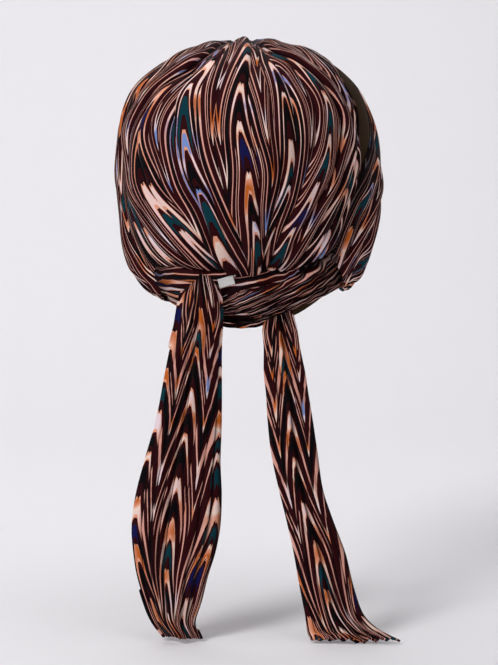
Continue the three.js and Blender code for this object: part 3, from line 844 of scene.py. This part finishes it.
# the over tie twists as it crosses the nape, so its creases run down across it one after another
TWIST = [0, 0.10, 0.28, 0.52, 0.80, 1.05, 1.25]
OVER_WRAP_CREASES = fold_lines(
    ([-0.9] * 7, (0, 0, 0)),
    *[([start - turn for turn in TWIST], (-1.8, -3, -2)) for start in np.arange(0.17, 2.2, 0.155).tolist()],
    ([3.0] * 7, (0, 0, 0)),
)
UNDER_WRAP_CREASES = fold_lines(
    EDGE_LOW,
    ([0.16, 0.14, 0.16], (1.6, 1.6, 1.2)),
    ([0.33, 0.30, 0.30], (2, 2, 1.4)),
    ([0.50, 0.48, 0.47], (2, 2, 1.4)),
    ([0.68, 0.66, 0.66], (2, 2, 1.2)),
    ([0.84, 0.84, 0.84], (1.6, 1.6, 1)),
    EDGE_HIGH,
)

print("creases in the over tie:", len(OVER_WRAP_CREASES) - 2, "and", len(OVER_TAIL_CREASES) - 2)

# %% Fold a ribbon of cloth along its path
BUNCHED = 1.1  # m of cloth for each m of width, where a tie hangs free
FLANK = -0.0205  # m across the print, where the middle of a long flank lies
REPEAT_ACROSS = 0.066  # m from one flank of the print to the next one like it
KNOT_USES = 0.16  # m of a tie that are used up before its tail begins


def flank_of_print(share, number, lines):
    """Flat places across a wrap: each strand shows one long flank, so its lines run along it, and
    every third strand takes in a part of a peak as well"""
    low, high = lines[number], lines[number + 1]
    within = np.clip((share - low) / (high - low), 0, 1) - 0.5
    peak = np.where(number % 3 == 0, 0.0045, 0)[:, None]
    pace = np.where(number % 3 == 1, 0.005, 0.0085)[:, None]
    return REPEAT_ACROSS * number[:, None] + FLANK - peak + pace * within


def ribbon(path, rows, per_fold, creases, seed, start=0.0):
    """Grids of points, flat places and painted shade for one stretch of a tie. start: m of the tie
    that come before it, which is 0 for the wrap round the nape"""
    grid = folded_grid(creases, rows, per_fold, first=0, last=1)
    share, run, number, lines = grid
    at = run * (len(path) - 1)
    low = np.stack(columns(path, "number", "x0 y0 z0", at), axis=-1)
    high = np.stack(columns(path, "number", "x1 y1 z1", at), axis=-1)
    wide = np.linalg.norm(high - low, axis=-1)
    middle = (low + high)[0] / 2
    length = np.concatenate([[0], np.cumsum(np.linalg.norm(np.diff(middle, axis=0), axis=-1))])
    side = (high - low) / wide[..., None]
    out = np.cross(side, np.gradient(middle, axis=0)[None] + 0 * side)
    out /= np.linalg.norm(out, axis=-1, keepdims=True)
    out *= np.sign(out[len(share) // 2, rows // 2, 1])

    rise, flat, painted_shade = creased(grid, wide, creases, fade=7, start_at=0.5, fullness=1.0)
    # the cloth is bunched where the knot grips it, and again in small pleats at the hem
    more = 0.4 * smooth(0.22, 0.0, run) + 0.45 * smooth(0.66, 0.97, run)
    rise += more * 1.8 * pleat(share * 13 + 0.3 * wander(share, run, seed, 0.5))
    # painted shade: on a wrap towards its first end, on a tail along its low edge lower down
    if start == 0:
        flat = flank_of_print(share, number, lines)
        added_painted_shade = smooth(0.42, 0.05, run)
    else:
        flat = (flat - np.mean(wide) / 2000) * (BUNCHED + more)
        added_painted_shade = smooth(0.09, 0.0, share) * smooth(0.3, 0.6, run)
    inner = np.clip(np.sin(np.pi * share), 0, 1) ** 0.35
    swell = column(path, "number", "bulge", at) * inner**1.7
    rise = swell + 1.2 * inner * rise + 0.5 * wander(share * 40, run * 300, seed + 2, 26)
    points = mix(low, high, share[..., None]) + out * rise[..., None]
    painted_shade = np.maximum(painted_shade, 0.8 * added_painted_shade)
    return points, np.stack([flat, start + length[None, :] / 1000 + 0 * share], axis=-1), painted_shade


# %% Make the ties
def join(name, *parts):
    """Several pieces made one mesh object"""
    with bpy.context.temp_override(active_object=parts[0], selected_editable_objects=list(parts)):
        bpy.ops.object.join()
    parts[0].name = parts[0].data.name = name
    return parts[0]


def make_tie(name, wrap, tail):
    """One tie as one mesh: its wrap has the crown's print, and its tail the gentler one"""
    parts = []
    for part, (points, flat, painted_shade), dyes in (("wrap", wrap, PRINT), ("tail", tail, PRINT_TIES)):
        parts.append(cloth(f"{name}_{part}", points, flat, 2.0, dyes, False, painted_shade))
    return join(name, *parts)


over_wrap = ribbon(OVER_WRAP, 140, 8, OVER_WRAP_CREASES, seed=31)
over_tail = ribbon(OVER_TAIL, 280, 12, OVER_TAIL_CREASES, seed=41, start=KNOT_USES)
under_wrap = ribbon(UNDER_WRAP, 150, 11, UNDER_WRAP_CREASES, seed=51)
under_tail = ribbon(UNDER_TAIL, 280, 12, UNDER_TAIL_CREASES, seed=61, start=KNOT_USES)
over = make_tie("over_tie_cloth", over_wrap, over_tail)
under = make_tie("under_tie_cloth", under_wrap, under_tail)

# %% [markdown]
# ## The cap under it all
#
# The cap is plain jersey with a short pile. It shows as a dark strip between the crown and the
# band, so it needs the right form and a soft, light-drinking finish more than it needs detail.

# %% Make the cap
RIM = table(
    "azimuth polar",
    (0, 154),
    (30, 152),
    (55, 144),
    (75, 135),
    (90, 126),
    (120, 104),
    (150, 91),
    (180, 87),
)


def jersey():
    """Dark jersey with a short pile: hardly any gloss, and a faint warm sheen"""
    material, r = new_material("olive jersey")
    place = r.add("ShaderNodeTexCoord").outputs["Object"]
    cloudy = r.noise(place, 45.0, 3.0)
    pile = r.noise(place, 1900.0)
    colour = r.blend(cloudy, dye(34, 23, 12), dye(56, 39, 22))
    bump = r.bump(pile, 0.5, 0.0002)
    rough = r.span(cloudy, 0.3, 0.7, 0.86, 0.97)
    sheen = {"Sheen Weight": 0.12, "Sheen Roughness": 0.35, "Sheen Tint": dye(120, 96, 70)}
    r.skin({"Base Color": colour, "Roughness": rough, "Normal": bump, "Specular IOR Level": 0.05, **sheen})
    return material


JERSEY = jersey()


def make_cap():
    """The cap, from its top down to its rim"""
    azimuth, down = np.meshgrid(np.linspace(0, 360, 181), np.linspace(0, 1, 61), indexing="ij")
    rim = column(RIM, "azimuth", "polar", np.where(azimuth > 180, 360 - azimuth, azimuth))
    points = on_cap(rim * down, azimuth)
    flat = np.stack([azimuth / 360 * 0.6, down * 0.25], axis=-1)
    return cloth("base_cap_cloth", points, flat, 1.5, JERSEY, turned=True)


cap = make_cap()

# %% [markdown]
# ## The label
#
# A small loop of woven tape is caught under the knot. It is left blank. It is drawn as a strip
# that is folded double and bows a little, because a flat box would read as plastic.

# %% Make the label
LABEL = dict(wide=13, high=7.5, bend=0.5, x=18.5, y=96.2, z=-186, turn=16)  # mm, and degrees


def tape():
    """Pale woven tape with a fine rib"""
    material, r = new_material("woven tape")
    flat = r.add("ShaderNodeUVMap", uv_map="UVMap").outputs[0]
    wave = r.add("ShaderNodeTexWave", {"Vector": flat, "Scale": 700.0, "Distortion": 0.5}).outputs[1]
    rough = r.span(wave, 0.0, 1.0, 0.55, 0.75)
    bump = r.bump(wave, 0.4, 0.00015)
    colour = r.blend(wave, dye(196, 194, 192), dye(222, 220, 218))
    r.skin({"Base Color": colour, "Roughness": rough, "Normal": bump})
    return material


def make_label():
    """A loop of tape: down its front, round the fold at its foot, and up its back"""
    straight, bend = LABEL["high"] - LABEL["bend"], LABEL["bend"]
    length = 2 * straight + math.pi * bend
    across, way = np.meshgrid(np.linspace(-0.5, 0.5, 25), np.linspace(0, length, 41), indexing="ij")
    turned = np.clip((way - straight) / bend, 0, np.pi)
    up = np.maximum(way - straight - math.pi * bend, 0) - np.minimum(way, straight) - bend * np.sin(turned)
    x, z = across * LABEL["wide"], up + LABEL["high"] / 2
    y = LABEL["y"] + bend * np.cos(turned) - 1.6 * across**2
    turn = math.radians(LABEL["turn"])
    right, high = x * math.cos(turn) + z * math.sin(turn), z * math.cos(turn) - x * math.sin(turn)
    points = np.stack([LABEL["x"] + right, y, LABEL["z"] + high], axis=-1)
    return cloth("blank_label", points, np.stack([x, way], axis=-1) / 1000, 0.35, tape())


label = make_label()

# %% [markdown]
# ## Stitches
#
# Stitches repeat along a path, which is what Geometry Nodes are for. The tree turns a path into
# evenly spaced points, sets a small thread on each one, and makes them real mesh. Its inputs carry
# the sizes, so that one tree sews every seam.

# %% A tree that sews along a path
def stitch_tree():
    """The tree: a path in, and real threads out"""
    tree = bpy.data.node_groups.new("stitches along a path", "GeometryNodeTree")
    tree.interface.new_socket("Path", in_out="INPUT", socket_type="NodeSocketGeometry")
    for name, value in (("Spacing", 0.0032), ("Stitch length", 0.0022), ("Thread radius", 0.0002)):
        tree.interface.new_socket(name, in_out="INPUT", socket_type="NodeSocketFloat").default_value = value
    tree.interface.new_socket("Thread", in_out="INPUT", socket_type="NodeSocketMaterial")
    tree.interface.new_socket("Stitches", in_out="OUTPUT", socket_type="NodeSocketGeometry")
    r = Recipe(tree)
    given = r.add("NodeGroupInput").outputs
    curve = r.add("GeometryNodeMeshToCurve", {0: given["Path"]}).outputs[0]
    dots = {"Curve": curve, "Length": given["Spacing"]}
    dots = r.add("GeometryNodeCurveToPoints", dots, mode="LENGTH").outputs
    thread = r.add("GeometryNodeMeshUVSphere", {"Segments": 6, "Rings": 5, "Radius": 0.5}).outputs[0]
    radius, length = given["Thread radius"], given["Stitch length"]
    thick = r.math("MULTIPLY", radius, 2.0)
    size = r.add("ShaderNodeCombineXYZ", {0: thick, 1: thick, 2: length}).outputs[0]
    sewn = r.add(
        "GeometryNodeInstanceOnPoints",
        {"Points": dots["Points"], "Instance": thread, "Rotation": dots["Rotation"], "Scale": size},
    ).outputs[0]
    real = r.add("GeometryNodeRealizeInstances", {0: sewn}).outputs[0]
    dyed = r.add("GeometryNodeSetMaterial", {"Geometry": real, "Material": given["Thread"]}).outputs[0]
    r.add("NodeGroupOutput", {"Stitches": dyed})
    return tree


STITCHES = stitch_tree()


def thread_material(name, colour):
    """Twisted thread of one colour"""
    material, r = new_material(name)
    place = r.add("ShaderNodeTexCoord").outputs["Object"]
    twist = r.noise(place, 2500.0)
    bump = r.bump(twist, 0.4, 0.0001)
    rough = r.span(twist, 0.0, 1.0, 0.5, 0.7)
    r.skin({"Base Color": colour, "Roughness": rough, "Normal": bump})
    return material


DARK_THREAD = thread_material("dark thread", dye(60, 26, 30))
PALE_THREAD = thread_material("pale thread", dye(205, 200, 196))


def sew(name, paths, thread, spacing=0.0032, length=0.0022, radius=0.0002):
    """Stitches along each path of points in mm"""
    mesh = bpy.data.meshes.new(name)
    points, edges = [], []
    for path in paths:
        first = len(points)
        points += (np.asarray(path) / 1000).tolist()
        edges += [(first + k, first + k + 1) for k in range(len(path) - 1)]
    mesh.from_pydata(points, edges, [])
    piece = put(name, mesh)
    modifier = piece.modifiers.new("stitches", "NODES")
    modifier.node_group = STITCHES
    sizes = {"Spacing": spacing, "Stitch length": length, "Thread radius": radius, "Thread": thread}
    for item in STITCHES.interface.items_tree:
        if item.in_out == "INPUT" and item.name in sizes:
            modifier[item.identifier] = sizes[item.name]
    apply_modifiers(piece)
    print(f"{name}: {len(piece.data.polygons)} faces of thread")
    return piece


# %% Sew the seams that show
def beside(points, inset, stand=0.25):
    """A path along the row number `inset` of a grid, lifted off the cloth by `stand` mm"""
    row, nearby = points[inset], points[inset + (1 if inset >= 0 else -1)]
    along = np.gradient(row, axis=0)
    out = np.cross(nearby - row, along)
    out /= np.maximum(np.linalg.norm(out, axis=-1, keepdims=True), 1e-9)
    out *= np.where((out * (row - np.array([0, 0, -100]))).sum(-1, keepdims=True) < 0, -1, 1)
    return row + out * stand


hems = [
    beside(over_tail[0].swapaxes(0, 1), -4),
    beside(under_tail[0].swapaxes(0, 1), -4),
    beside(band_points, 5),
    beside(band_points, -6),
]
hem_stitches = sew("hem_stitches", hems, DARK_THREAD)
# the label's seam runs in a straight line between two places, in mm
label_row = np.linspace((12.6, 97.2, -181.5), (24.4, 97.2, -184.9), 20)
label_stitches = sew("label_stitches", [label_row], PALE_THREAD, 0.0016, 0.0011, 0.00013)

# %% [markdown]
# ## Hand the pieces to the imported model
#
# Each new piece stands for the plain wall that it replaces, and rides on the one body. Each sheet
# also says how large it was cut, so that its stretch can be measured.

# %% Place every piece on the frame
for piece, node, finish in (
    (crown, "crown_panel", "printed_cloth"),
    (band, "front_band", "printed_cloth"),
    (over, "over_tie", "printed_cloth"),
    (under, "under_tie", "printed_cloth"),
    (cap, "base_cap", "cap_cloth"),
    (label, "label", "label_cloth"),
):
    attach(piece, "root")
    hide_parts(node)
for piece, finish in ((hem_stitches, "printed_cloth"), (label_stitches, "label_cloth")):
    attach(piece, "root")

# %% [markdown]
# ## The floor and the light
#
# A plain pale floor runs up into a plain wall of the same tone, and the light is a soft studio one:
# a large lamp high at the left of the camera, a weaker one at its right, and a pale room round it.

# %% Build the studio
FLOOR = CAD_BOX[0][2] - 0.0005


def make_studio():
    """The floor and the wall, as one bent sheet of paper"""
    # the floor, a bend of 0.6 m and the wall, in m
    profile = [(3.2, 0.0), (-0.9, 0.0)]
    profile += [(-0.9 - 0.6 * math.sin(a), 0.6 - 0.6 * math.cos(a)) for a in np.radians(range(6, 91, 6))]
    profile += [(-1.5, 3.5)]
    points = [(x, y, FLOOR + z) for y, z in profile for x in (-4, 4)]
    quads = [(k, k + 2, k + 3, k + 1) for k in range(0, len(points) - 2, 2)]
    mesh = bpy.data.meshes.new("studio")
    mesh.from_pydata(points, [], quads)
    mesh.polygons.foreach_set("use_smooth", [True] * len(mesh.polygons))
    material, r = new_material("studio paper")
    paper = r.add("ShaderNodeBsdfPrincipled", {"Base Color": dye(236, 234, 237), "Roughness": 0.9})
    # the paper is clear from its reverse, so the wall hides nothing from a camera on the face side
    reverse = r.add("ShaderNodeNewGeometry").outputs["Backfacing"]
    clear = r.add("ShaderNodeBsdfTransparent").outputs[0]
    shown = r.add("ShaderNodeMixShader", {0: reverse, 1: paper.outputs[0], 2: clear})
    r.add("ShaderNodeOutputMaterial", {0: shown.outputs[0]})
    mesh.materials.append(material)
    put("studio", mesh)


def lamp(name, place, target, size, power):
    """A round lamp of this size in m and power in W, turned towards its target"""
    data = bpy.data.lights.new(name, "AREA")
    data.shape, data.size, data.energy = "DISK", size, power
    light = put(name, data)
    light.location = place
    light.rotation_euler = (Vector(target) - Vector(place)).to_track_quat("-Z", "Y").to_euler()


make_studio()
lamp("key", (1.5, 1.7, 1.5), (0, 0, -0.15), 1.0, 43)
lamp("fill", (-1.8, 1.9, 0.4), (0, 0, -0.2), 1.6, 7)
lamp("top", (0.2, 0.1, 1.9), (0, 0, -0.2), 1.2, 3)
lamp("face side", (0.7, -1.15, 1.2), (0, 0, -0.1), 0.8, 3)
lamp("wall", (0.0, -0.35, 1.3), (0, -1.5, 0.0), 1.6, 9.5)

# a pale room, which fills the shadows a little
world = bpy.data.worlds.new("room")
world.use_nodes = True
world.node_tree.nodes["Background"].inputs[0].default_value = (0.80, 0.80, 0.82, 1)
world.node_tree.nodes["Background"].inputs[1].default_value = 0.3
bpy.context.scene.world = world
bpy.context.scene.view_settings.view_transform = "Standard"
